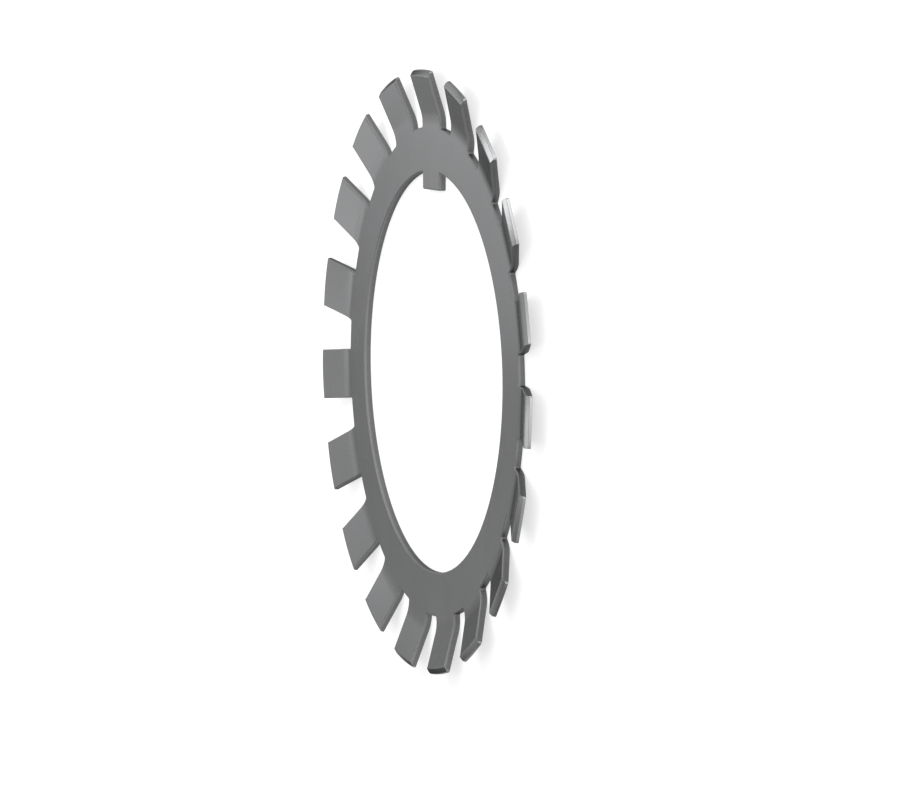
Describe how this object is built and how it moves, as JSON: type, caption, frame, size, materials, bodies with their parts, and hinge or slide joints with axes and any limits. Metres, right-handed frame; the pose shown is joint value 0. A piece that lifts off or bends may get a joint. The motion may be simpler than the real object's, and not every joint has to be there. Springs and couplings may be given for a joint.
{
  "type": "tab lock washer",
  "caption": "Flat sheet-steel lock washer for a shaft nut: a ring with bent-up outer tabs and one flat inner tab that sits in the shaft's keyway.",
  "frame": {"origin": "on the axis of the shaft bore, in the plane of the back face, which is the lowest face", "axes": "+Z along the bore's axis, from the back face to the nut side, which the outer tabs are bent towards; +Y from the axis through the middle of the inner tab; +X to the right of it, seen from the nut side"},
  "size_m": [0.1504, 0.1501, 0.005],
  "materials": {
    "steel": "satin bare steel, stamped and bent"
  },
  "bodies": {
    "root": {"lock_washer": "steel"}
  },
  "joints": []
}
